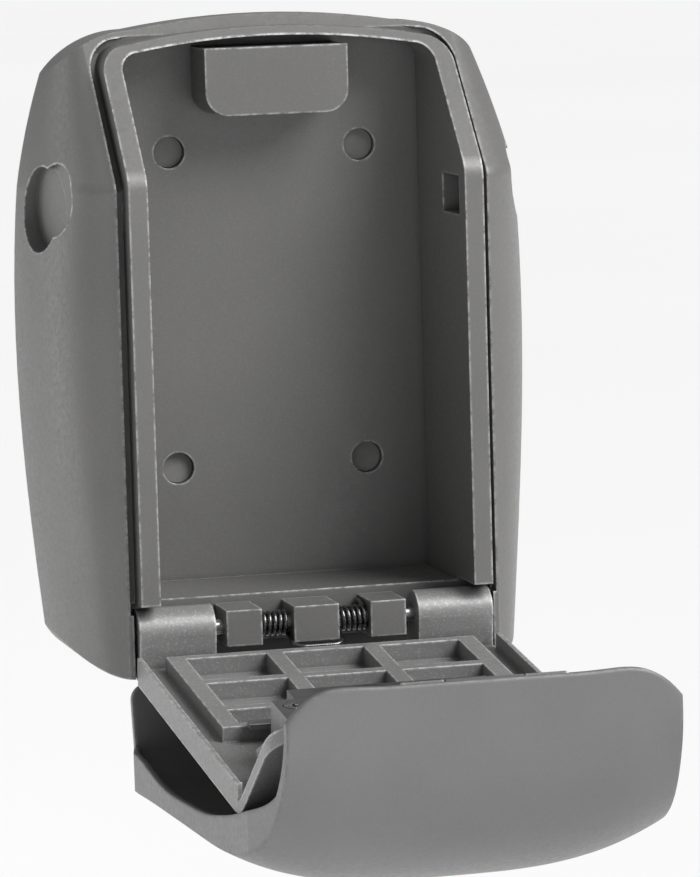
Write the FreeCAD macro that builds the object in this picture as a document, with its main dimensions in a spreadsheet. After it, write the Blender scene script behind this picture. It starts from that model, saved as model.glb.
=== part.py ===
"""Wall-mounted combination key lock box with a spring-assisted drop-down door.

Frame: X to the right, Y towards the wall, Z up, millimetres.  The origin lies on the
back face, at the centre of the four wall screws.  The door pieces are drawn as they
stand when the door is closed and are then swung about the hinge pin to the open pose.
"""
import FreeCAD, Part
import math
import os
import Sketcher

V = FreeCAD.Vector
X_AXIS = V(1, 0, 0)
Y_AXIS = V(0, 1, 0)
Z_AXIS = V(0, 0, 1)

doc = FreeCAD.newDocument("key_lock_box")
sheet = doc.addObject("Spreadsheet::Sheet", "sizes")

SIZES = [
    # wall fixing
    ("screw_spacing_x", 42), ("screw_spacing_z", 68), ("screw_hole_radius", 2.5),
    ("plug_recess_radius", 3.4), ("plug_recess_depth", 2.6), ("plug_radius", 3.3),
    ("plug_thickness", 0.9),
    # housing
    ("housing_depth", 41.5), ("back_plate", 5), ("cavity_half", 34), ("collar_half", 38.1),
    ("lip_half", 40.3), ("lip_setback", 3.5), ("groove_depth", 2.5), ("cheek_half", 54.8),
    ("kink_height", 28), ("slope_angle", 43), ("kink_radius", 7),
    ("top_height", 63), ("bottom_height", -73.5), ("cavity_top", 58.6), ("cavity_floor", -58.4),
    ("top_arch_radius", 180), ("block_half", 15.6), ("block_bottom", 42), ("block_top", 56.4),
    ("block_depth", 13), ("latch_slot_bottom", 20.4), ("latch_slot_top", 28.6),
    ("latch_slot_front", 4.6), ("latch_slot_back", 17), ("latch_slot_sink", 3.9),
    # main hinge
    ("hinge_y", -35.1), ("hinge_z", -64), ("open_angle", 97.3), ("pin_radius", 1.6), ("pin_fit", 0.06),
    ("knuckle_half", 3.8), ("mid_knuckle_half", 4.9), ("side_knuckle_inner", 11.8),
    ("side_knuckle_outer", 19.5), ("ear_inner", 22), ("ear_outer", 38.4), ("ear_radius", 5),
    ("spring_radius", 2.3), ("spring_wire", 0.42), ("spring_turns", 5),
    # door, depths measured forward from the hinge pin
    ("door_inner", 6.9), ("door_skin", 2.5), ("door_half", 39.4), ("door_lip", 0.95),
    ("door_lip_height", 3.4),
    ("door_core_half", 33.4), ("rib_top", 3.7), ("pocket_depth", 4), ("rim_gap", 0.5),
    # lock
    ("dial_height", 4), ("dial_depth", 5), ("dial_radius", 7), ("dial_width", 5.6), ("dial_pitch", 8),
    ("axle_radius", 1.2), ("sleeve_radius", 2.9), ("running_fit", 0.08), ("bolt_height", 7.2),
    ("bolt_depth", 5),
    ("bolt_tip", 33.6), ("bolt_travel", 3.6), ("slide_travel", 3), ("case_half", 27), ("case_wall", 1.2),
    # shutter
    ("shutter_pivot_y", 23.4), ("shutter_pivot_z", 126.3), ("shutter_barrel", 1.4),
    ("shutter_pin_radius", 0.6),
    ("shutter_half", 41), ("shutter_crown", 7.4), ("shutter_ajar", 9),
    ("shutter_end_half", 38.6), ("shutter_end_inner", 134), ("shutter_end_outer", 135.8),
    ("shutter_end_depth", 8.2),
    ("shutter_wall", 1.25), ("shutter_lean", 2.6), ("shutter_pin_length", 31.4),
]
for row, (alias, value) in enumerate(SIZES, start=1):
    sheet.set("A%d" % row, alias)
    sheet.set("B%d" % row, str(value))
    sheet.setAlias("B%d" % row, alias)
doc.recompute()


def size(alias):
    """A driving dimension read back from the sheet."""
    return float(sheet.get(alias))


HINGE = V(0, size("hinge_y"), size("hinge_z"))
RIM_Y = -size("housing_depth")
CASE_SCREWS = [(x, z) for x in (-23.5, 23.5) for z in (75.4, 98.2)]
nodes = {}


def swung(local=None):
    """Placement of a door piece: its closed place, swung open about the hinge pin."""
    swing = FreeCAD.Placement(V(0, 0, 0), FreeCAD.Rotation(X_AXIS, size("open_angle")), HINGE)
    return swing.multiply(local) if local else swing


def ajar(local=None):
    """Placement of a shutter piece: the closed place, lifted a little, then swung with the door."""
    pivot = door_point(size("shutter_pivot_y"), size("shutter_pivot_z"))
    lift = FreeCAD.Placement(V(0, 0, 0), FreeCAD.Rotation(X_AXIS, -size("shutter_ajar")), pivot)
    return swung(lift.multiply(local) if local else lift)


def door_point(depth, height, across=0.0):
    """Point given by its distance behind the hinge pin, above it and across, door closed."""
    return V(across, HINGE.y + depth, HINGE.z + height)


def keep(obj, name, placement=None):
    """Register an object as the node that carries this name."""
    obj.Label = name
    if placement is not None:
        obj.Placement = placement
    nodes[name] = obj
    return obj


def feature(name, shape, placement=None):
    """Sub-part whose shape is set directly."""
    obj = doc.addObject("Part::Feature", name)
    obj.Shape = shape
    return keep(obj, name, placement)


def box(x0, x1, y0, y1, z0, z1):
    return Part.makeBox(x1 - x0, y1 - y0, z1 - z0, V(x0, y0, z0))


def door_box(x0, x1, depth0, depth1, height0, height1):
    """Box in the closed door, from depths behind and heights above the hinge pin."""
    return box(x0, x1, HINGE.y + depth0, HINGE.y + depth1, HINGE.z + height0, HINGE.z + height1)


def rod(radius, start, direction, length):
    return Part.makeCylinder(radius, length, start, direction)


def mirrored(shape):
    return shape.mirror(V(0, 0, 0), X_AXIS)


def both(shape):
    """The shape together with its mirror image across the middle plane."""
    return shape.fuse(mirrored(shape))


def prism_x(points, x0, x1):
    """Prism along X over a closed outline of (y, z) points."""
    wire = Part.makePolygon([V(x0, y, z) for y, z in points] + [V(x0, points[0][0], points[0][1])])
    return Part.Face(wire).extrude(V(x1 - x0, 0, 0))


def profile_prism(edges, x0, x1):
    """Prism along X over a closed chain of edges drawn in the plane x = 0."""
    face = Part.Face(Part.Wire(Part.__sortEdges__(edges)))
    face.translate(V(x0, 0, 0))
    return face.extrude(V(x1 - x0, 0, 0))


# ---------------------------------------------------------------- sketch helpers

def new_body(name):
    return doc.addObject("PartDesign::Body", name)


def plane_of(body, role):
    return next(f for f in body.Origin.OriginFeatures if f.Role == role)


def sketch_on(body, role, name, offset=0.0):
    sketch = body.newObject("Sketcher::SketchObject", name)
    sketch.AttachmentSupport = [(plane_of(body, role), "")]
    sketch.MapMode = "FlatFace"
    sketch.AttachmentOffset = FreeCAD.Placement(V(0, 0, offset), FreeCAD.Rotation())
    return sketch


def add_circle(sketch, radius_formula, x=0.0, y=0.0, start=1.0):
    """Circle whose radius follows a formula on the sheet."""
    index = sketch.addGeometry(Part.Circle(V(x, y, 0), Z_AXIS, start))
    constraint = sketch.addConstraint(Sketcher.Constraint("Radius", index, start))
    sketch.setExpression("Constraints[%d]" % constraint, radius_formula)
    return index


def add_outline(sketch, points):
    count = len(points)
    first = sketch.GeometryCount
    for i, (x, y) in enumerate(points):
        x2, y2 = points[(i + 1) % count]
        sketch.addGeometry(Part.LineSegment(V(x, y, 0), V(x2, y2, 0)))
    for i in range(count):
        sketch.addConstraint(Sketcher.Constraint("Coincident", first + i, 2, first + (i + 1) % count, 1))


def pad(body, sketch, name, length_formula, midplane=False):
    feat = body.newObject("PartDesign::Pad", name)
    feat.Profile = sketch
    feat.setExpression("Length", length_formula)
    feat.Midplane = midplane
    return feat


def turned_x(x=0.0, y=0.0, z=0.0):
    """Placement that lays a body's own Z along X at the given point."""
    return FreeCAD.Placement(V(x, y, z), FreeCAD.Rotation(Y_AXIS, 90))


# ---------------------------------------------------------------- housing

def slope_vector():
    """Unit vector up the sloping part of the front, in the middle plane."""
    angle = math.radians(size("slope_angle"))
    return V(0, math.sin(angle), math.cos(angle))


def slope_normal():
    """Unit vector out of the sloping part, to the front and up."""
    along = slope_vector()
    return V(0, -along.z, along.y)


def front_edges(offset, bottom, reach):
    """Side outline of the front, moved outwards by an offset: straight, bend, slope."""
    radius = size("kink_radius") + offset
    centre = V(0, RIM_Y + size("kink_radius"), size("kink_height"))
    start = centre + V(0, -radius, 0)
    angle = math.radians(size("slope_angle"))
    middle = centre + V(0, -math.cos(angle / 2), math.sin(angle / 2)) * radius
    end = centre + slope_normal() * radius
    top = end + slope_vector() * reach
    line = Part.LineSegment(V(0, start.y, bottom), start).toShape()
    arc = Part.Arc(start, middle, end).toShape()
    return [line, arc, Part.LineSegment(end, top).toShape()], V(0, start.y, bottom), top


def front_solid(offset, half_width, bottom=-90.0, back=5.0, reach=60.0):
    """Everything behind the front outline."""
    edges, low, high = front_edges(offset, bottom, reach)
    rear = max(back, high.y + 1)
    corners = [high, V(0, rear, high.z), V(0, rear, bottom), low]
    for a, b in zip(corners, corners[1:]):
        edges.append(Part.LineSegment(a, b).toShape())
    return profile_prism(edges, -half_width, half_width)


def arched_box(half, bottom, top, y0, y1, corner):
    """Prism along Y with an arched top, for the cavity and its collar."""
    arch = size("top_arch_radius")
    inner = half - corner
    sag = arch - math.sqrt(arch ** 2 - inner ** 2)
    left = V(-inner, y0, top - sag)
    right = V(inner, y0, top - sag)
    bend = corner * (1 - math.sin(math.pi / 4))
    edges = [
        Part.Arc(left, V(0, y0, top), right).toShape(),
        Part.Arc(right, V(half - bend, y0, top - sag - bend), V(half, y0, top - sag - corner)).toShape(),
        Part.LineSegment(V(half, y0, top - sag - corner), V(half, y0, bottom)).toShape(),
        Part.LineSegment(V(half, y0, bottom), V(-half, y0, bottom)).toShape(),
        Part.LineSegment(V(-half, y0, bottom), V(-half, y0, top - sag - corner)).toShape(),
        Part.Arc(V(-half, y0, top - sag - corner), V(bend - half, y0, top - sag - bend), left).toShape(),
    ]
    return Part.Face(Part.Wire(edges)).extrude(V(0, y1 - y0, 0))


def cheek_half(z):
    """Half width of the housing at the wall, bowed out in the middle and drawn in at the top."""
    middle = 8.0
    if z > middle:
        return size("cheek_half") - 11.5 * ((z - middle) / 55.0) ** 2
    return size("cheek_half") - 5.0 * ((middle - z) / 81.0) ** 2


def lip_y(z):
    """Depth of the cheeks' front lip at a height: straight, bend, slope."""
    radius = size("kink_radius") - size("lip_setback")
    centre_y = RIM_Y + size("kink_radius")
    rise = z - size("kink_height")
    angle = math.radians(size("slope_angle"))
    if rise <= 0:
        return centre_y - radius
    if rise <= radius * math.sin(angle):
        return centre_y - math.sqrt(radius ** 2 - rise ** 2)
    return centre_y - radius * math.cos(angle) + (rise - radius * math.sin(angle)) * math.tan(angle)


def cheek_section(z):
    """Level section of the housing: flat back, cheeks that curve in to the front lip."""
    lip = size("lip_half")
    front = lip_y(z)
    flare = cheek_half(z) - lip
    right = []
    for step in range(6):
        turn = math.radians(82 * step / 5)
        x = lip + flare * (math.cos(turn) - math.cos(math.radians(82))) / (1 - math.cos(math.radians(82)))
        right.append(V(x, front * math.sin(turn) / math.sin(math.radians(82)), z))
    left = [V(-p.x, p.y, p.z) for p in reversed(right)]
    right_curve = Part.BSplineCurve()
    right_curve.interpolate(Points=right)
    left_curve = Part.BSplineCurve()
    left_curve.interpolate(Points=left)
    # the ends run on behind the wall plane, where the housing is trimmed flat
    left_end = left[-1] + V(0, 1, 0)
    right_end = right[0] + V(0, 1, 0)
    return Part.Wire([right_curve.toShape(), Part.LineSegment(right[-1], left[0]).toShape(),
                      left_curve.toShape(), Part.LineSegment(left[-1], left_end).toShape(),
                      Part.LineSegment(left_end, right_end).toShape(),
                      Part.LineSegment(right_end, right[0]).toShape()])


def make_housing():
    bend_end = size("kink_height") + (size("kink_radius") - size("lip_setback")) * math.sin(
        math.radians(size("slope_angle")))
    bend_middle = (size("kink_height") + bend_end) / 2
    shell = None
    for levels in ((size("bottom_height") - 1, -40, -5, size("kink_height")),
                   (size("kink_height"), bend_middle, bend_end), (bend_end, 40, 52, 64)):
        part = Part.makeLoft([cheek_section(z) for z in levels], True, False)
        shell = shell.fuse(part) if shell else part
    shell = shell.common(front_solid(-size("lip_setback"), 70))
    crown = arched_box(52, size("bottom_height") - 1, size("top_height"), -60, 0, 22)
    shell = shell.common(crown.fuse(box(-60, 60, -60, 0, size("bottom_height") - 1, 35)))
    foot = box(-52, 52, -60, 1, size("bottom_height"), 70)
    corners = [e for e in foot.Edges if abs(e.CenterOfMass.z - size("bottom_height")) < 0.1
               and abs(abs(e.CenterOfMass.x) - 52) < 0.1]
    shell = shell.common(foot.makeFillet(13, corners).fuse(box(-60, 60, -60, 1, -60, 70)))
    # collar that the door closes over, and the groove round it
    collar = arched_box(size("collar_half"), -60, 60.6, -60, -10, 6).common(front_solid(0, 60))
    groove = arched_box(size("lip_half") - 0.5, -60, 61.9, -60, -10, 7)
    groove = groove.cut(front_solid(-size("lip_setback") - size("groove_depth"), 60))
    shell = shell.cut(groove).fuse(collar)
    # cavity, hinge bay and floor
    cavity = arched_box(size("cavity_half"), size("cavity_floor"), size("cavity_top"),
                        -60, -size("back_plate"), 4)
    bay = box(-39.1, 39.1, -60, HINGE.y + 6.6, -90, HINGE.z + 6.2)
    shell = shell.cut(cavity).cut(bay)
    # room below the hinge for the shutter's end wall
    shell = shell.cut(door_box(-39.1, 39.1, 6, 9.4, -12, -4.4))
    # knuckles
    half = size("knuckle_half")
    spans = [(-size("side_knuckle_outer"), -size("side_knuckle_inner")),
             (-size("mid_knuckle_half"), size("mid_knuckle_half")),
             (size("side_knuckle_inner"), size("side_knuckle_outer"))]
    for x0, x1 in spans:
        shell = shell.fuse(box(x0, x1, HINGE.y - half, HINGE.y + 6.8, HINGE.z - half, HINGE.z + half))
    bore = size("pin_radius") + size("pin_fit")
    shell = shell.cut(rod(bore, V(-25, HINGE.y, HINGE.z), X_AXIS, 50))
    # block at the head of the back plate, with round lower corners
    block = box(-size("block_half"), size("block_half"), -size("back_plate") - size("block_depth"),
                -size("back_plate") + 1, size("block_bottom"), size("block_top"))
    round_edges = [e for e in block.Edges if abs(e.CenterOfMass.z - size("block_bottom")) < 0.1
                   and abs(abs(e.CenterOfMass.x) - size("block_half")) < 0.1]
    shell = shell.fuse(block.makeFillet(5, round_edges))
    # latch slots in the side walls
    slot = box(size("cavity_half") - 1, size("cavity_half") + size("latch_slot_sink"),
               RIM_Y + size("latch_slot_front"), RIM_Y + size("latch_slot_back"),
               size("latch_slot_bottom"), size("latch_slot_top"))
    shell = shell.cut(slot).cut(mirrored(slot))
    # wall screw holes with their plug recesses
    for x in (-0.5, 0.5):
        for z in (-0.5, 0.5):
            at = V(x * size("screw_spacing_x"), -size("back_plate") - 1, z * size("screw_spacing_z"))
            shell = shell.cut(rod(size("screw_hole_radius"), at, Y_AXIS, size("back_plate") + 2))
            shell = shell.cut(rod(size("plug_recess_radius"), at, Y_AXIS, size("plug_recess_depth") + 1))
    # weight-saving pockets in the back of the cheeks
    for low, high, outer, depth in ((-60, -29, 46, 22), (-24, 9, 46.5, 22), (14, 38, 44, 15)):
        pocket = box(38.5, outer, -depth, 1, low, high)
        pocket = pocket.makeFillet(2.5,
                                   [e for e in pocket.Edges if abs(e.CenterOfMass.y - (1 - depth) / 2) < 0.1])
        shell = shell.cut(pocket).cut(mirrored(pocket))
    # finger dimples in the cheeks: flat floors that run out to the front
    for side in (-1, 1):
        out = V(side * 0.988, -0.156, 0)
        rear = rod(9.0, V(side * 49.1, -16.0, 24.0), out, 15)
        front = rod(7.6, V(side * 48.2, -22.4, 26.2), out, 15)
        shell = shell.cut(rear).cut(front)
    return shell.removeSplitter()


feature("housing", make_housing())

plugs = []
for col in (-1, 1):
    for line in (-1, 1):
        plug = doc.addObject("Part::Cylinder", "hole_plug")
        plug.setExpression("Radius", "sizes.plug_radius")
        plug.setExpression("Height", "sizes.plug_thickness")
        place = V(col * size("screw_spacing_x") / 2,
                  -size("back_plate") + size("plug_recess_depth"), line * size("screw_spacing_z") / 2)
        plug.Placement = FreeCAD.Placement(place, FreeCAD.Rotation(X_AXIS, 90))
        plugs.append(plug)
group = doc.addObject("Part::Compound", "hole_plugs")
group.Links = plugs
keep(group, "hole_plugs")

# ---------------------------------------------------------------- main hinge pin and spring

hinge_pin = new_body("hinge_pin")
pin_sketch = sketch_on(hinge_pin, "XY_Plane", "pin_section")
add_circle(pin_sketch, "sizes.pin_radius", start=1.6)
pad(hinge_pin, pin_sketch, "pin_length", "2 * (sizes.ear_outer - 0.5)", midplane=True)
keep(hinge_pin, "hinge_pin", turned_x(0, HINGE.y, HINGE.z))


def round_wire(points, radius, wire):
    """Bent wire through straight runs joined by tangent arcs."""
    edges = []
    previous = points[0]
    for before, corner, after in zip(points, points[1:], points[2:]):
        a = (before - corner).normalize()
        b = (after - corner).normalize()
        half = a.getAngle(b) / 2
        reach = radius / math.tan(half)
        start = corner + a * reach
        end = corner + b * reach
        middle = corner + (a + b).normalize() * (radius / math.sin(half) - radius)
        edges.append(Part.LineSegment(previous, start).toShape())
        edges.append(Part.Arc(start, middle, end).toShape())
        previous = end
    edges.append(Part.LineSegment(previous, points[-1]).toShape())
    path = Part.Wire(edges)
    direction = (points[1] - points[0]).normalize()
    ring = Part.Wire(Part.makeCircle(wire, points[0], direction))
    return path.makePipeShell([ring], True, False)


def coil(radius, wire, turns, length, start):
    """Closed-wound helix along X from a start point on its axis."""
    helix = Part.makeHelix(length / turns, length, radius)
    ring = Part.Wire(Part.makeCircle(wire, V(radius, 0, 0), Y_AXIS))
    solid = helix.makePipeShell([ring], True, True)
    place = FreeCAD.Placement(start, FreeCAD.Rotation(Y_AXIS, 90))
    return solid.transformed(place.toMatrix(), True)


def make_hinge_spring():
    wire = size("spring_wire")
    radius = size("spring_radius")
    first = size("mid_knuckle_half") + wire + 0.15
    last = size("side_knuckle_inner") - wire - 0.15
    right = coil(radius, wire, size("spring_turns"), last - first, V(first, HINGE.y, HINGE.z))
    loop = round_wire([V(first, HINGE.y - 0.4, HINGE.z - radius),
                       V(first, HINGE.y - 5.8, HINGE.z - radius - 2.2),
                       V(-first, HINGE.y - 5.8, HINGE.z - radius - 2.2),
                       V(-first, HINGE.y - 0.4, HINGE.z - radius)], 2.4, wire)
    leg = round_wire([V(last, HINGE.y, HINGE.z + radius), V(last, HINGE.y + 3.2, HINGE.z + radius + 0.6),
                      V(last, HINGE.y + 6.0, HINGE.z + radius + 0.6)], 1.5, wire)
    return both(right.fuse(leg)).fuse(loop)


feature("hinge_spring", make_hinge_spring())

# ---------------------------------------------------------------- door

def front_layer(near, far, outline):
    """Layer between two offsets of the front outline, inside a front view outline."""
    return front_solid(far, 60).cut(front_solid(near, 60)).common(outline)


def make_door():
    inner = size("rim_gap")
    outer = inner + size("door_skin")
    half = size("door_half")
    foot = HINGE.z - 1.5
    outline = arched_box(half, foot, 59.3, -70, 0, 5.5)
    side_relief = box(size("ear_outer") + 0.3, 45, -70, 0, foot - 1, HINGE.z + 7.2)
    outline = outline.cut(both(side_relief))
    door = front_layer(inner, outer, outline)
    # outer lips that run in the groove round the collar
    strip = box(half - size("door_lip"), half, -70, 0, HINGE.z + 6.9, size("kink_height") + 2)
    lips = front_layer(inner - size("door_lip_height"), inner + 0.2, both(strip))
    door = door.fuse(lips)
    # ribbed core that fills the mouth of the cavity
    core = door_box(-size("door_core_half"), size("door_core_half"), -size("door_inner") - 0.2,
                    -size("rib_top"), 7.0, 57)
    door = door.fuse(core)
    floor = -size("rib_top") - size("pocket_depth")
    for x0, x1 in ((-29.5, -12.3), (-8.7, 8.7), (12.3, 29.5)):
        for z0, z1 in ((9.2, 24.6), (27.2, 43.2), (45.8, 55)):
            door = door.cut(door_box(x0, x1, floor, 0, z0, z1))
    # hinge ears with barrels round the pin
    x0, x1 = size("ear_inner"), size("ear_outer")
    radius = size("ear_radius")
    ear = door_box(x0, x1, -size("door_inner") - 0.2, 0, -radius + 1.2, radius)
    ear = ear.fuse(rod(radius, V(x0, HINGE.y, HINGE.z), X_AXIS, x1 - x0))
    ear = ear.cut(rod(size("pin_radius") + size("pin_fit"), V(x0 - 1, HINGE.y, HINGE.z), X_AXIS, 40))
    door = door.fuse(both(ear))
    # windows for the dials, slot for the button stem, thinned bay behind them
    height, depth = size("dial_height"), size("dial_depth")
    dial_z = HINGE.z + 64 + height
    bay = box(-16, 16, HINGE.y - 8.2, HINGE.y - 3, dial_z - 8.4, dial_z + 8.4)
    door = door.cut(bay)
    for i in range(4):
        x = (i - 1.5) * size("dial_pitch")
        door = door.cut(box(x - 3.15, x + 3.15, HINGE.y - 12, HINGE.y - 3, dial_z - 7.6, dial_z + 7.6))
    door = door.cut(door_box(-3.4, 3.4, -12, -6, 82.2, 93))
    # posts that hold the dial axle
    post = box(16.3, 18.9, HINGE.y - 7, HINGE.y - 2.6, dial_z - 2.6, dial_z + 2.6)
    axle = rod(size("axle_radius") + 0.05, V(-20, HINGE.y - depth, dial_z), X_AXIS, 40)
    door = door.fuse(both(post)).cut(axle)
    # screw bosses for the lock case
    for x, z in CASE_SCREWS:
        door = door.fuse(rod(2.4, door_point(-7, z, x), Y_AXIS, 2.4))
        door = door.cut(rod(1.08, door_point(-7.6, z, x), Y_AXIS, 8))
    # lugs for the shutter pin at the head of the door
    pivot = door_point(size("shutter_pivot_y"), size("shutter_pivot_z"))
    barrel = size("shutter_barrel")
    lug = rod(barrel, V(8, pivot.y, pivot.z), X_AXIS, 8)
    web = prism_x([(pivot.y - 0.9, pivot.z - 1.0), (pivot.y - 0.9, pivot.z + 0.9),
                  (pivot.y - 2.4, pivot.z - 0.7),
                   (pivot.y - 4.4, pivot.z - 1.2), (pivot.y - 10.0, pivot.z - 4.3),
                   (pivot.y - 6.0, pivot.z - 4.3),
                   (pivot.y - 2.1, pivot.z - 1.3)], 8, 16)
    lug = lug.fuse(web).cut(rod(size("shutter_pin_radius") + 0.05, V(0, pivot.y, pivot.z), X_AXIS, 30))
    door = door.fuse(both(lug))
    return door.removeSplitter()


feature("door_casting", make_door(), swung())

# ---------------------------------------------------------------- dials and their axle

DIAL_CENTRE = door_point(-size("dial_depth"), 64 + size("dial_height"))
BOLT_HEIGHT = 88.6
BOLT_FRONT = -1.2
BUTTON_SCREWS = (84.6, 88.0)

axle = new_body("dial_axle")
add_circle(sketch_on(axle, "XY_Plane", "axle_section"), "sizes.axle_radius")
pad(axle, axle.Group[-1], "axle_length", "4.6 * sizes.dial_pitch", midplane=True)
keep(axle, "dial_axle", swung(turned_x(0, DIAL_CENTRE.y, DIAL_CENTRE.z)))

for number in range(4):
    across = (number - 1.5) * size("dial_pitch")
    place = swung(turned_x(across, DIAL_CENTRE.y, DIAL_CENTRE.z))

    dial = new_body("number_dial_%d" % (number + 1))
    rim = sketch_on(dial, "XY_Plane", "dial_rim_%d" % number)
    add_circle(rim, "sizes.dial_radius")
    add_circle(rim, "sizes.sleeve_radius + 0.02")
    pad(dial, rim, "dial_width_%d" % number, "sizes.dial_width", midplane=True)
    flute = sketch_on(dial, "XY_Plane", "dial_flute_%d" % number)
    add_circle(flute, "sizes.dial_radius * 0.14", x=size("dial_radius") * 1.07)
    groove = dial.newObject("PartDesign::Pocket", "dial_groove_%d" % number)
    groove.Profile = flute
    groove.Type = "ThroughAll"
    groove.Midplane = True
    ring = dial.newObject("PartDesign::PolarPattern", "dial_grooves_%d" % number)
    ring.Originals = [groove]
    ring.Axis = (rim, ["N_Axis"])
    ring.Angle = 360
    ring.Occurrences = 10
    dial.Tip = ring
    keep(dial, "number_dial_%d" % (number + 1), place)

    sleeve = new_body("dial_sleeve_%d" % (number + 1))
    tube = sketch_on(sleeve, "XY_Plane", "sleeve_section_%d" % number)
    add_circle(tube, "sizes.sleeve_radius")
    add_circle(tube, "sizes.axle_radius + sizes.running_fit")
    pad(sleeve, tube, "sleeve_length_%d" % number, "sizes.dial_pitch - 0.6", midplane=True)
    gate = sketch_on(sleeve, "XY_Plane", "sleeve_gate_%d" % number, size("dial_width") / 2)
    add_outline(gate, [(2.1, -0.7), (3.5, -0.7), (3.5, 0.7), (2.1, 0.7)])
    notch = sleeve.newObject("PartDesign::Pocket", "gate_notch_%d" % number)
    notch.Profile = gate
    notch.Length = 3
    notch.Reversed = True
    keep(sleeve, "dial_sleeve_%d" % (number + 1), place)

# ---------------------------------------------------------------- latch

def rounded_slot(x0, z0, x1, z1, radius, y0, y1):
    """Slot cutter along Y between two end points."""
    along = V(x1 - x0, 0, z1 - z0)
    across = V(-along.z, 0, along.x).normalize() * radius
    a, b = V(x0, y0, z0), V(x1, y0, z1)
    wire = Part.makePolygon([a + across, b + across, b - across, a - across, a + across])
    bar = Part.Face(wire).extrude(V(0, y1 - y0, 0))
    return bar.fuse(rod(radius, a, Y_AXIS, y1 - y0)).fuse(rod(radius, b, Y_AXIS, y1 - y0))


def make_latch_slide():
    slide = door_box(-17.5, 17.5, -6.2, -4.5, 79.2, 91.4)
    for x in (-8, 0, 8):
        slide = slide.fuse(door_box(x - 0.7, x + 0.7, -6.2, -4.5, 75.9, 80))
    for side in (-1, 1):
        pin_x, pin_z = side * 11, HINGE.z + BOLT_HEIGHT
        slide = slide.cut(rounded_slot(pin_x, pin_z, pin_x + side * size("bolt_travel"),
                                       pin_z - size("slide_travel"), 1.25, HINGE.y - 7, HINGE.y - 4))
    for z in BUTTON_SCREWS:
        slide = slide.cut(rod(0.6, door_point(-7, z), Y_AXIS, 4))
    return slide.removeSplitter()


feature("latch_slide", make_latch_slide(), swung())


def make_release_button():
    button = door_box(-8.5, 8.5, -12.2, -9.6, 81.5, 93.5)
    edges = [e for e in button.Edges if abs(e.CenterOfMass.y - (HINGE.y - 12.2)) < 0.01
             or abs(e.tangentAt(e.FirstParameter).y) > 0.9]
    button = button.makeFillet(0.8, edges)
    for z in (84.2, 86.4, 88.6):
        button = button.fuse(door_box(-5.5, 5.5, -12.7, -12, z, z + 0.9))
    stem = door_box(-3, 3, -9.7, -6.2, 83, 89.5)
    for z in BUTTON_SCREWS:
        stem = stem.cut(rod(0.55, door_point(-9.2, z), Y_AXIS, 3.2))
    return button.fuse(stem).removeSplitter()


feature("release_button", make_release_button(), swung())


def make_button_screw(z):
    return rod(1.3, door_point(-4.5, z), Y_AXIS, 0.8).fuse(rod(0.5, door_point(-9.0, z), Y_AXIS, 4.6))


feature("button_screws", Part.makeCompound([make_button_screw(z) for z in BUTTON_SCREWS]), swung())


def make_bolt(side):
    """Sliding bolt with a bevelled nose and a pin that follows the slide."""
    low = BOLT_HEIGHT - size("bolt_height") / 2
    high = BOLT_HEIGHT + size("bolt_height") / 2
    back = BOLT_FRONT + size("bolt_depth")
    bolt = door_box(6, size("bolt_tip"), BOLT_FRONT, back, low, high)
    tip = size("bolt_tip")
    bevel = Part.makePolygon([door_point(back + 1, low - 1, tip - 5.4), door_point(back + 1, low - 1,
                              tip + 1),
                              door_point(BOLT_FRONT + 1.4, low - 1, tip + 1),
                              door_point(BOLT_FRONT + 1.4, low - 1, tip), door_point(back + 1, low - 1,
                              tip - 5.4)])
    bolt = bolt.cut(Part.Face(bevel).extrude(V(0, 0, size("bolt_height") + 2)))
    bolt = bolt.fuse(rod(1.05, door_point(-6.0, BOLT_HEIGHT, 11), Y_AXIS, 5))
    seat = rod(2.0, door_point(BOLT_FRONT + size("bolt_depth") / 2, BOLT_HEIGHT, 5), X_AXIS, 3)
    bolt = bolt.cut(seat)
    return mirrored(bolt) if side < 0 else bolt


feature("bolt_left", make_bolt(-1), swung())
feature("bolt_right", make_bolt(1), swung())
spring_start = door_point(BOLT_FRONT + size("bolt_depth") / 2, BOLT_HEIGHT, -7.4)
feature("latch_spring", coil(1.45, 0.3, 8, 14.8, spring_start), swung())

# ---------------------------------------------------------------- lock case and its screws


def make_lock_case():
    wall = size("case_wall")
    low_half = 20.6
    outer = door_box(-low_half, low_half, -6.8, 3.6, 58.6, 80)
    outer = outer.fuse(door_box(-size("case_half"), size("case_half"), -6.8, 5.6, 71, 103))
    inner = door_box(-low_half + wall, low_half - wall, -7, 3.6 - wall, 58.6 + wall, 80)
    inner = inner.fuse(door_box(-size("case_half") + wall, size("case_half") - wall, -7, 5.6 - wall,
                                 72.2, 103 - wall))
    case = outer.cut(inner)
    for x, z in CASE_SCREWS:
        case = case.fuse(rod(2.9, door_point(-4.4, z, x), Y_AXIS, 10))
        case = case.cut(rod(1.25, door_point(-5, z, x), Y_AXIS, 13))
        case = case.cut(rod(2.2, door_point(4.4, z, x), Y_AXIS, 3))
    # windows for the bolts
    half = size("bolt_height") / 2 + 0.3
    for side in (-1, 1):
        x0, x1 = sorted((side * 25, side * 28))
        case = case.cut(door_box(x0, x1, BOLT_FRONT - 0.3, BOLT_FRONT + size("bolt_depth") + 0.3,
                                 BOLT_HEIGHT - half, BOLT_HEIGHT + half))
    # skirt over the end of the ribs, and the hole of the change lever
    case = case.fuse(door_box(-28.5, 28.5, -size("rib_top") + 0.1, -size("rib_top") + 1.2, 57.4, 60.4)
                     .cut(door_box(-low_half + wall, low_half - wall, -7, 3, 58.6 + wall, 70)))
    case = case.cut(rod(1.6, door_point(3, 78.5, -12), Y_AXIS, 6))
    case = case.common(front_solid(-0.1, 60))
    return case.removeSplitter()


feature("lock_case", make_lock_case(), swung())


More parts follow.
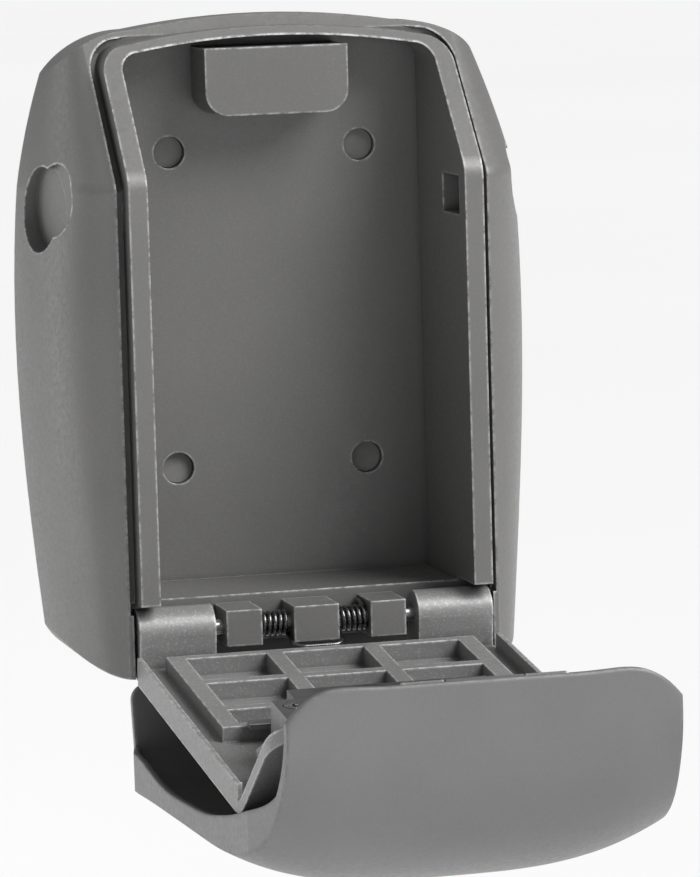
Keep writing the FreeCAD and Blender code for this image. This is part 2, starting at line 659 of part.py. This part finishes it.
def make_case_screw(x, z):
    head = rod(2.0, door_point(4.45, z, x), Y_AXIS, 1.3)
    head = head.fuse(rod(1.0, door_point(-7.2, z, x), Y_AXIS, 12))
    for a in (0, 90):
        slot = Part.makeBox(2.4, 0.8, 0.5, door_point(5.2, z - 0.25, x - 1.2))
        slot.rotate(door_point(5.2, z, x), Y_AXIS, a)
        head = head.cut(slot)
    return head


feature("case_screws", Part.makeCompound([make_case_screw(x, z) for x, z in CASE_SCREWS]), swung())


def make_change_lever():
    lever = rod(1.5, door_point(3.0, 78.5, -12), Y_AXIS, 3.4)
    lever = lever.fuse(rod(2.6, door_point(5.8, 78.5, -12), Y_AXIS, 1.1))
    return lever.fuse(door_box(-12, -5.4, 5.8, 6.9, 77.3, 79.7)).removeSplitter()


feature("change_lever", make_change_lever(), swung())


def make_detent_spring():
    """Leaf with one tongue per dial, under the dials."""
    leaf = door_box(-15.6, 15.6, -3.6, -3.1, 60.0, 60.6)
    for i in range(4):
        x = (i - 1.5) * size("dial_pitch")
        leaf = leaf.fuse(door_box(x - 1.6, x + 1.6, -3.6, 1.6, 60.0, 60.4))
    return leaf.removeSplitter()


feature("detent_spring", make_detent_spring(), swung())

# ---------------------------------------------------------------- shutter

OUTER_SIDE = [(-5.5, -6.2, 0), (-10.6, -3.6, 0.1), (-12.4, 4.5, 0.45), (-12.3, 14, 0.8),
              (-12.2, 28, 1), (-12.2, 60, 1),
              (-11.8, 86, 1), (-8.6, 105, 0.95), (-1.5, 118.5, 0.75), (6.6, 125.6, 0.35),
              (14, 128.2, 0.1),
              (24.6, 128.9, 0)]
INNER_SIDE = [(-5.5, -4.4, 0), (-9.3, -2.3, 0.1), (-10.3, 5.2, 0.45), (-10.1, 15, 0.8),
              (-10.0, 29, 1), (-10.0, 60, 1),
              (-9.7, 84, 1), (-6.7, 103, 0.95), (0.2, 116.4, 0.75), (7.4, 123.1, 0.35),
              (14.2, 125.8, 0.1),
              (24.6, 127.1, 0)]
WALL_REAR = [(-4.6, -4.6), (-4.3, 1), (-4.6, 8), (-5.2, 13), (-6.4, 20.5), (-7.8, 34), (-7.7, 52),
             (-6.9, 69.5), (-5.2, 82),
             (-3.4, 92.3), (-0.6, 105), (2.7, 116.8), (5.5, 122.3)]


def skin_point(point, x):
    """A point of the side section moved to its place across the crowned skin."""
    depth, height, weight = point
    reach = abs(x) / size("shutter_half")
    crown = size("shutter_crown") * (1 - reach ** 3.2) * weight
    sink = 1.6 * reach ** 2 * max(0.0, (height - 104) / 22)
    pull = 9 * max(0.0, (reach - 0.72) / 0.28) ** 1.8 * max(0.0, (depth - 6) / 18.6)
    return door_point(depth - crown - pull, height - sink, x)


def shutter_station(x):
    """Closed side section of the shutter skin at one place across it."""
    outer = [skin_point(p, x) for p in OUTER_SIDE]
    inner = [skin_point(p, x) for p in reversed(INNER_SIDE)]
    front = Part.BSplineCurve()
    front.interpolate(Points=outer)
    rear = Part.BSplineCurve()
    rear.interpolate(Points=inner)
    return Part.Wire([front.toShape(), Part.LineSegment(outer[-1], inner[0]).toShape(),
                      rear.toShape(), Part.LineSegment(inner[-1], outer[0]).toShape()])


def plan_prism(points):
    """Prism from front to back over a closed outline of (across, height above the hinge)."""
    corners = [V(x, -80, HINGE.z + height) for x, height in points]
    return Part.Face(Part.makePolygon(corners + corners[:1])).extrude(V(0, 140, 0))


def end_wall():
    """Wall at the hinge end, curved about the shutter's own pin so that it slides in below the ears."""
    half = size("shutter_end_half")
    pivot = door_point(size("shutter_pivot_y"), size("shutter_pivot_z"))
    ring = rod(size("shutter_end_outer"), V(-half, pivot.y, pivot.z), X_AXIS, 2 * half)
    ring = ring.cut(rod(size("shutter_end_inner"), V(-half, pivot.y, pivot.z), X_AXIS, 2 * half))
    keeper = door_box(-half, half, -7.5, size("shutter_end_depth"), -12, 0)
    corners = [e for e in keeper.Edges if abs(abs(e.CenterOfMass.x) - half) < 0.1
               and abs(e.CenterOfMass.y - HINGE.y - size("shutter_end_depth")) < 0.1]
    return ring.common(keeper.makeFillet(3.5, corners))


def side_wall():
    """Wall that turns back along the left edge and leans in with it towards the free end."""
    half = size("shutter_half")
    inner = half - size("shutter_wall")
    lean = size("shutter_lean")
    edges = []
    front = [skin_point(p, inner) + skin_point(q, inner) for p, q in zip(OUTER_SIDE[:10],
             INNER_SIDE[:10])]
    front = [V(0, p.y / 2, p.z / 2) for p in front]
    rear = [door_point(depth, height) for depth, height in reversed(WALL_REAR)]
    for points in (front, rear):
        curve = Part.BSplineCurve()
        curve.interpolate(Points=points)
        edges.append(curve.toShape())
    edges.insert(1, Part.LineSegment(front[-1], rear[0]).toShape())
    edges.append(Part.LineSegment(rear[-1], front[0]).toShape())
    taper = half - size("shutter_end_half")
    band = [(-half, 4), (-half, 104), (lean - half, 128), (lean - inner, 128), (-inner, 104), (-inner, 4),
            (taper - inner, -6), (taper - inner, -9), (taper - half, -9), (taper - half, -6)]
    return profile_prism(edges, -half - 1, lean - inner + 1).common(plan_prism(band))


def make_shutter():
    half = size("shutter_half")
    stations = [half * k for k in (-1, -0.93, -0.8, -0.55, -0.25, 0, 0.25, 0.55, 0.8, 0.93, 1)]
    skin = Part.makeLoft([shutter_station(x) for x in stations], True, False)
    lean = size("shutter_lean")
    end_half = size("shutter_end_half")
    outline = [(end_half, -20), (end_half, -6), (half, 4), (half, 104), (half - lean, 128),
               (half - lean, 150)]
    skin = skin.common(plan_prism(outline + [(-x, height) for x, height in reversed(outline)]))
    skin = skin.fuse(end_wall()).fuse(both(side_wall()))
    pivot = door_point(size("shutter_pivot_y"), size("shutter_pivot_z"))
    barrel = size("shutter_barrel")
    for side in (-1, 1):
        start = V(side * 12 - 4.3, pivot.y, pivot.z)
        skin = skin.cut(rod(barrel + 0.3, start, X_AXIS, 8.6))
    knuckle = rod(barrel, V(-7.6, pivot.y, pivot.z), X_AXIS, 15.2)
    knuckle = knuckle.fuse(box(-7.6, 7.6, pivot.y - 1, pivot.y + 1, pivot.z, pivot.z + 1.6))
    skin = skin.fuse(knuckle)
    skin = skin.cut(rod(size("shutter_pin_radius") + 0.05, V(-9, pivot.y, pivot.z), X_AXIS, 18))
    return skin.removeSplitter()


feature("shutter", make_shutter(), ajar())

shutter_pin = new_body("shutter_pin")
add_circle(sketch_on(shutter_pin, "XY_Plane", "shutter_pin_section"), "sizes.shutter_pin_radius")
pad(shutter_pin, shutter_pin.Group[-1], "shutter_pin_length", "sizes.shutter_pin_length", midplane=True)
keep(shutter_pin, "shutter_pin",
     swung(turned_x(0, HINGE.y + size("shutter_pivot_y"), HINGE.z + size("shutter_pivot_z"))))


# ---------------------------------------------------------------- check and export

def check_document():
    doc.recompute()
    for obj in doc.Objects:
        bad = [state for state in obj.State if state in ("Invalid", "Error")]
        if bad:
            raise RuntimeError("%s failed: %s" % (obj.Name, bad))
    for name, obj in nodes.items():
        if obj.Shape.isNull() or not obj.Shape.isValid():
            raise RuntimeError("%s has no valid shape" % name)


def export_nodes():
    os.makedirs("parts", exist_ok=True)
    for name, obj in nodes.items():
        obj.Shape.exportStep("parts/%s.step" % name)
        print("%-18s %10.1f mm3  %d solids" % (name, obj.Shape.Volume, len(obj.Shape.Solids)))


check_document()
export_nodes()
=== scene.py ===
"""Key lock box with its door open: finishes, dial numbers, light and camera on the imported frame."""
import math

import bmesh
import bpy
from mathutils import Matrix, Vector


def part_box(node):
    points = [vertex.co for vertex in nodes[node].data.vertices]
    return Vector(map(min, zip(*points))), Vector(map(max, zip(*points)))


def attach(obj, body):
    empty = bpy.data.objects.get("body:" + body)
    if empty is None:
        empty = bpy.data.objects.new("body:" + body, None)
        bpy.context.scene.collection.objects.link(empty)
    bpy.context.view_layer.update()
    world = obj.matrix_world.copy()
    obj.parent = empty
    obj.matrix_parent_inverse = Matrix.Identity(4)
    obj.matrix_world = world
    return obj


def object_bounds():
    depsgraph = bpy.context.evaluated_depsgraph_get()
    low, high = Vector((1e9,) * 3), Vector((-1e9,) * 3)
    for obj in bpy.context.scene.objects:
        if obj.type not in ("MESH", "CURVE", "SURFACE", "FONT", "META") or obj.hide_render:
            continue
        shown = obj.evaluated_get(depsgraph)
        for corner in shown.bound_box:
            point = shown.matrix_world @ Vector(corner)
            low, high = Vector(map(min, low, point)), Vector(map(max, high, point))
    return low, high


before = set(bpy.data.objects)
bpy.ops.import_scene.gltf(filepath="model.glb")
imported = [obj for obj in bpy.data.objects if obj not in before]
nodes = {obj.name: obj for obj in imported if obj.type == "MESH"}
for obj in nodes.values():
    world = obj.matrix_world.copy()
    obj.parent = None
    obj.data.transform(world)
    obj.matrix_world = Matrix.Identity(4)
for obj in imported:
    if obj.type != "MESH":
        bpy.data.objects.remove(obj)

MM = 0.001
cad_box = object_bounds()


# ---------------------------------------------------------------- node helpers

class Shader:
    """A material under construction, with short calls for the nodes used here."""

    def __init__(self, name):
        self.material = bpy.data.materials.new(name)
        self.material.use_nodes = True
        self.tree = self.material.node_tree
        self.out = self.tree.nodes["Principled BSDF"]
        self.place = self.add("ShaderNodeTexCoord").outputs["Object"]

    def add(self, kind, **settings):
        node = self.tree.nodes.new(kind)
        for key, value in settings.items():
            setattr(node, key, value)
        return node

    def feed(self, socket, value):
        if isinstance(value, bpy.types.NodeSocket):
            self.tree.links.new(value, socket)
        else:
            socket.default_value = value

    def stretched(self, factors):
        """Object coordinates drawn out along some axes, for brushed and turned finishes."""
        node = self.add("ShaderNodeMapping")
        self.feed(node.inputs["Vector"], self.place)
        node.inputs["Scale"].default_value = factors
        return node.outputs["Vector"]

    def noise(self, size_mm, detail=2.0, rough=0.5, place=None):
        node = self.add("ShaderNodeTexNoise")
        self.feed(node.inputs["Vector"], place or self.place)
        node.inputs["Scale"].default_value = 1.0 / (size_mm * MM)
        node.inputs["Detail"].default_value = detail
        node.inputs["Roughness"].default_value = rough
        return node.outputs["Fac"]

    def cells(self, size_mm, spread=1.0):
        node = self.add("ShaderNodeTexVoronoi", feature="F1")
        self.feed(node.inputs["Vector"], self.place)
        node.inputs["Scale"].default_value = 1.0 / (size_mm * MM)
        node.inputs["Randomness"].default_value = spread
        return node

    def ramp(self, value, low, high, start=0.0, end=1.0):
        node = self.add("ShaderNodeMapRange")
        self.feed(node.inputs["Value"], value)
        for key, number in (("From Min", low), ("From Max", high), ("To Min", start), ("To Max", end)):
            node.inputs[key].default_value = number
        return node.outputs["Result"]

    def math(self, operation, a, b):
        node = self.add("ShaderNodeMath", operation=operation, use_clamp=True)
        self.feed(node.inputs[0], a)
        self.feed(node.inputs[1], b)
        return node.outputs["Value"]

    def mix(self, factor, a, b):
        node = self.add("ShaderNodeMix", data_type="RGBA")
        self.feed(node.inputs["Factor"], factor)
        for socket, colour in ((node.inputs[6], a), (node.inputs[7], b)):
            self.feed(socket, colour)
        return node.outputs[2]

    def edges(self, reach_mm, low=0.62, high=0.92):
        """1 on outer edges, 0 on open faces."""
        node = self.add("ShaderNodeAmbientOcclusion", inside=True, samples=6, only_local=True)
        node.inputs["Distance"].default_value = reach_mm * MM
        return self.ramp(node.outputs["AO"], high, low)

    def hollows(self, reach_mm, low=0.35, high=0.8):
        """Mask for painted shade: 1 deep in corners and grooves, 0 in the open."""
        node = self.add("ShaderNodeAmbientOcclusion", samples=6)
        node.inputs["Distance"].default_value = reach_mm * MM
        return self.ramp(node.outputs["AO"], high, low)

    def relief(self, *layers, rounding_mm=0.3):
        """Soft edges, then one bump per (height, depth in mm) layer."""
        soft = self.add("ShaderNodeBevel", samples=4)
        soft.inputs["Radius"].default_value = rounding_mm * MM
        normal = soft.outputs["Normal"]
        for height, depth_mm in layers:
            bump = self.add("ShaderNodeBump")
            bump.inputs["Strength"].default_value = 1.0
            bump.inputs["Distance"].default_value = depth_mm * MM
            self.feed(bump.inputs["Height"], height)
            self.feed(bump.inputs["Normal"], normal)
            normal = bump.outputs["Normal"]
        self.feed(self.out.inputs["Normal"], normal)


def grey(level, warmth=0.0):
    return (level * (1 + warmth), level, level * (1 - warmth), 1.0)


def painted_casting(name, tone, sparkle, warmth=0.01, rough=0.42, wear=0.75, rounding_mm=0.45):
    """Satin metallic paint on a die casting: flakes with painted glints, faint mottling, bright rubbed edges and
    painted shade in corners.
    """
    s = Shader(name)
    broad = s.noise(38, 3.0)
    fine = s.noise(0.4, 4.0, 0.65)
    flakes = s.cells(0.26).outputs["Color"]
    shade = s.mix(s.ramp(broad, 0.3, 0.7), grey(tone * 0.93, warmth), grey(tone * 1.07, warmth))
    shade = s.mix(s.ramp(fine, 0.35, 0.7, 0.0, 0.25 + 0.4 * sparkle), shade, grey(tone * 0.78, warmth))
    # Painted glints: bright flake dots in the base colour stand in for the paint's sparkle of light.
    painted_glint = s.ramp(flakes, 0.7, 1.0, 0.0, sparkle)
    shade = s.mix(painted_glint, shade, grey(min(tone * 2.0, 0.8), warmth))
    rub = s.math("MULTIPLY", s.edges(0.55), s.ramp(s.noise(1.7, 3.0, 0.7), 0.36, 0.6))
    rub = s.math("MULTIPLY", rub, wear)
    shade = s.mix(rub, shade, grey(0.66))
    # Painted shade: corners and grooves are darkened towards a near-black grey of the paint tone.
    shade = s.mix(s.math("MULTIPLY", s.hollows(2.2), 0.55), shade, grey(tone * 0.32, warmth))
    s.feed(s.out.inputs["Base Color"], shade)
    s.out.inputs["Metallic"].default_value = 0.32
    s.out.inputs["Specular IOR Level"].default_value = 0.45
    s.feed(s.out.inputs["Roughness"], s.ramp(s.noise(0.9, 3.0), 0.3, 0.75, rough - 0.07, rough + 0.09))
    s.relief((s.noise(0.8, 2.0), 0.02), (s.noise(3.2, 1.0), 0.035), (flakes, 0.006 * sparkle),
             rounding_mm=rounding_mm)
    return s.material


def metal(name, tone, rough, tint=(1.0, 1.0, 1.0), drawn=(1, 1, 1), grain_mm=0.5, scratch=0.012, painted_shade_strength=0.35):
    """Bare metal with a drawn or turned grain, handling marks and painted shade in hollows."""
    s = Shader(name)
    grain = s.noise(grain_mm, 4.0, 0.6, s.stretched(drawn))
    cloud = s.noise(4.5, 3.0)
    bright = tuple(tone * c for c in tint) + (1.0,)
    dark = tuple(tone * 0.62 * c for c in tint) + (1.0,)
    shade = s.mix(s.ramp(cloud, 0.3, 0.75, 0.0, 0.6), bright, dark)
    shade = s.mix(s.ramp(grain, 0.45, 0.75, 0.0, 0.4), shade, dark)
    # Painted shade: base colour is darkened towards black in corners and grooves.
    shade = s.mix(s.math("MULTIPLY", s.hollows(1.2), painted_shade_strength), shade, (0.02, 0.02, 0.02, 1.0))
    s.feed(s.out.inputs["Base Color"], shade)
    s.out.inputs["Metallic"].default_value = 1.0
    s.feed(s.out.inputs["Roughness"], s.ramp(grain, 0.3, 0.8, rough - 0.05, rough + 0.16))
    s.relief((grain, scratch), (cloud, 0.01), rounding_mm=0.18)
    return s.material


def moulded(name, tone, rough, grain_mm=0.35, warmth=0.0):
    """Moulded plastic with a spark-eroded grain and corners lightened as a painted highlight."""
    s = Shader(name)
    grain = s.noise(grain_mm, 3.0, 0.6)
    shade = s.mix(s.ramp(s.noise(5, 3.0), 0.3, 0.7), grey(tone * 0.85, warmth), grey(tone * 1.15, warmth))
    # Painted highlight: convex edges are lightened in the base colour.
    shade = s.mix(s.math("MULTIPLY", s.edges(0.35), 0.3), shade, grey(min(tone * 2.2, 0.7), warmth))
    s.feed(s.out.inputs["Base Color"], shade)
    s.feed(s.out.inputs["Roughness"], s.ramp(grain, 0.35, 0.7, rough - 0.06, rough + 0.12))
    s.relief((grain, 0.02), rounding_mm=0.25)
    return s.material


FINISHES = {
    "housing_paint": painted_casting("housing_finish", 0.19, 0.16, warmth=0.014, wear=0.8),
    "door_paint": painted_casting("door_finish", 0.27, 0.6, warmth=0.006, wear=0.95),
    "shutter_paint": painted_casting("shutter_finish", 0.205, 0.06, warmth=0.0, wear=0.2, rounding_mm=1.1),
    "plug_plastic": moulded("plug_finish", 0.19, 0.5, warmth=0.015),
    "button_black": moulded("button_finish", 0.018, 0.42),
    "dial_plastic": moulded("dial_finish", 0.022, 0.38),
    "pin_steel": metal("pin_finish", 0.5, 0.28, drawn=(0.12, 1, 1)),
    "spring_steel": metal("spring_finish", 0.2, 0.22, drawn=(0.4, 1, 1), grain_mm=0.3),
    "screw_steel": metal("screw_finish", 0.52, 0.3, grain_mm=0.3),
    "zinc_plate": metal("zinc_finish", 0.5, 0.34, tint=(0.97, 1.0, 1.02), grain_mm=0.8),
    "bolt_nickel": metal("nickel_finish", 0.72, 0.16, tint=(1.0, 0.985, 0.95), drawn=(0.25, 1, 1), grain_mm=0.9),
    "case_metal": metal("case_finish", 0.42, 0.36, drawn=(0.08, 1, 1), grain_mm=0.5),
    "lever_metal": metal("lever_finish", 0.55, 0.3, drawn=(1, 0.2, 1)),
    "sleeve_brass": metal("brass_finish", 0.6, 0.24, tint=(1.1, 0.82, 0.42), drawn=(1, 0.3, 0.3)),
}
for node in nodes.values():
    for place in node.material_slots:
        place.material = FINISHES[place.material.name.split(".")[0]]


# ---------------------------------------------------------------- numbers on the dials

def number_ink():
    s = Shader("number_ink")
    worn = s.ramp(s.noise(0.5, 3.0, 0.7), 0.35, 0.5)
    s.feed(s.out.inputs["Base Color"], s.mix(worn, grey(0.55), grey(0.82)))
    s.feed(s.out.inputs["Roughness"], s.ramp(s.noise(0.3, 2.0), 0.3, 0.7, 0.45, 0.65))
    s.relief((s.noise(0.25, 2.0), 0.008), rounding_mm=0.05)
    return s.material


INK = number_ink()
OPEN_ANGLE = math.radians(97.3)
FACES = 10
NUMBER_HEIGHT = 3.0 * MM
NUMBER_PROUD = 0.04 * MM
SLICE = 0.3 * MM


def number_mesh(text):
    """Flat mesh of one character, centred, cut into thin slices so that it can bend."""
    curve = bpy.data.curves.new("number_outline", "FONT")
    curve.body = text
    curve.size = NUMBER_HEIGHT * 1.35
    curve.align_x = "CENTER"
    holder = bpy.data.objects.new("number_outline", curve)
    bpy.context.scene.collection.objects.link(holder)
    flat = holder.evaluated_get(bpy.context.evaluated_depsgraph_get()).to_mesh()
    shape = bmesh.new()
    shape.from_mesh(flat)
    bpy.data.objects.remove(holder)
    tops = [v.co.y for v in shape.verts]
    middle = (max(tops) + min(tops)) / 2
    for v in shape.verts:
        v.co.y -= middle
    steps = math.ceil((max(tops) - min(tops)) / SLICE)
    for step in range(1, steps):
        level = (step / steps - 0.5) * (max(tops) - min(tops))
        everything = shape.verts[:] + shape.edges[:] + shape.faces[:]
        bmesh.ops.bisect_plane(shape, geom=everything, plane_co=(0, level, 0), plane_no=(0, 1, 0))
    return shape


def wrapped_number(dial, digit, turn):
    """The character laid round the dial, standing a little proud, its foot below the surface."""
    low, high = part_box(dial)
    centre = (low + high) / 2
    radius = (high.z - low.z) / 2
    shape = number_mesh(str(digit))
    faces = shape.faces[:]
    raised = bmesh.ops.extrude_face_region(shape, geom=faces)
    top = {v for v in raised["geom"] if isinstance(v, bmesh.types.BMVert)}
    for v in shape.verts:
        reach = radius + (NUMBER_PROUD if v in top else -NUMBER_PROUD)
        angle = turn - v.co.y / radius
        v.co = Vector((centre.x + v.co.x, centre.y + reach * math.cos(angle), centre.z + reach * math.sin(angle)))
    bmesh.ops.recalc_face_normals(shape, faces=shape.faces[:])
    mesh = bpy.data.meshes.new("%s_mark_%d" % (dial, digit))
    shape.to_mesh(mesh)
    shape.free()
    mesh.materials.append(INK)
    piece = bpy.data.objects.new(mesh.name, mesh)
    bpy.context.scene.collection.objects.link(piece)
    return piece


for dial_index in range(4):
    shown = (7, 2, 9, 4)[dial_index]
    for place in range(FACES):
        digit = (shown + place) % 10
        turn = math.pi + OPEN_ANGLE + place * 2 * math.pi / FACES
        number = wrapped_number("number_dial_%d" % (dial_index + 1), digit, turn)
        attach(number, "dial_%d" % (dial_index + 1)) or number


# ---------------------------------------------------------------- floor, light, camera

FLOOR_DROP = 0.1


def make_floor():
    s = Shader("floor_finish")
    s.feed(s.out.inputs["Base Color"], s.mix(s.noise(900, 2.0), grey(0.88), grey(0.92)))
    s.out.inputs["Roughness"].default_value = 0.9
    half = 15.0
    level = cad_box[0].z - FLOOR_DROP
    mesh = bpy.data.meshes.new("floor")
    corners = [(-half, -half, level), (half, -half, level), (half, half, level), (-half, half, level)]
    mesh.from_pydata(corners, [], [(0, 1, 2, 3)])
    mesh.materials.append(s.material)
    floor = bpy.data.objects.new("floor", mesh)
    bpy.context.scene.collection.objects.link(floor)


def make_sun(name, source, strength, spread):
    light = bpy.data.lights.new(name, "SUN")
    light.energy = strength
    light.angle = math.radians(spread)
    holder = bpy.data.objects.new(name, light)
    bpy.context.scene.collection.objects.link(holder)
    holder.rotation_mode = "QUATERNION"
    holder.rotation_quaternion = Vector(source).to_track_quat("Z", "Y")


def make_panel(name, place, strength, width, height, aim):
    light = bpy.data.lights.new(name, "AREA")
    light.shape = "RECTANGLE"
    light.size = width
    light.size_y = height
    light.energy = strength
    holder = bpy.data.objects.new(name, light)
    bpy.context.scene.collection.objects.link(holder)
    holder.location = place
    holder.rotation_mode = "QUATERNION"
    holder.rotation_quaternion = (Vector(place) - Vector(aim)).to_track_quat("Z", "Y")


def make_world():
    world = bpy.data.worlds.new("studio")
    bpy.context.scene.world = world
    world.use_nodes = True
    backdrop = world.node_tree.nodes["Background"]
    backdrop.inputs["Color"].default_value = (1.0, 1.0, 1.0, 1.0)
    backdrop.inputs["Strength"].default_value = 0.3


def make_camera():
    yaw, pitch, roll = 0.2585, 0.1246, -0.0273
    forward = Vector((math.sin(yaw) * math.cos(pitch), math.cos(yaw) * math.cos(pitch), -math.sin(pitch)))
    level = Vector((math.cos(yaw), -math.sin(yaw), 0.0))
    down = forward.cross(level)
    right = level * math.cos(roll) - down * math.sin(roll)
    image_down = level * math.sin(roll) + down * math.cos(roll)
    data = bpy.data.cameras.new("camera")
    data.sensor_width = 36.0
    data.lens = 205.2
    data.clip_start = 0.05
    data.clip_end = 60.0
    camera = bpy.data.objects.new("camera", data)
    bpy.context.scene.collection.objects.link(camera)
    axes = Matrix((right, -image_down, -forward)).transposed()
    camera.matrix_world = Matrix.Translation((-0.25784, -1.04541, 0.10502)) @ axes.to_4x4()
    bpy.context.scene.camera = camera


make_floor()
make_world()
make_sun("key", (0.8, -0.75, 1.0), 3.5, 40)
make_panel("left_edge", (-0.7, 0.45, 0.2), 1.3, 0.3, 0.9, (0, -0.04, 0))
make_camera()
bpy.context.scene.view_settings.view_transform = "Standard"
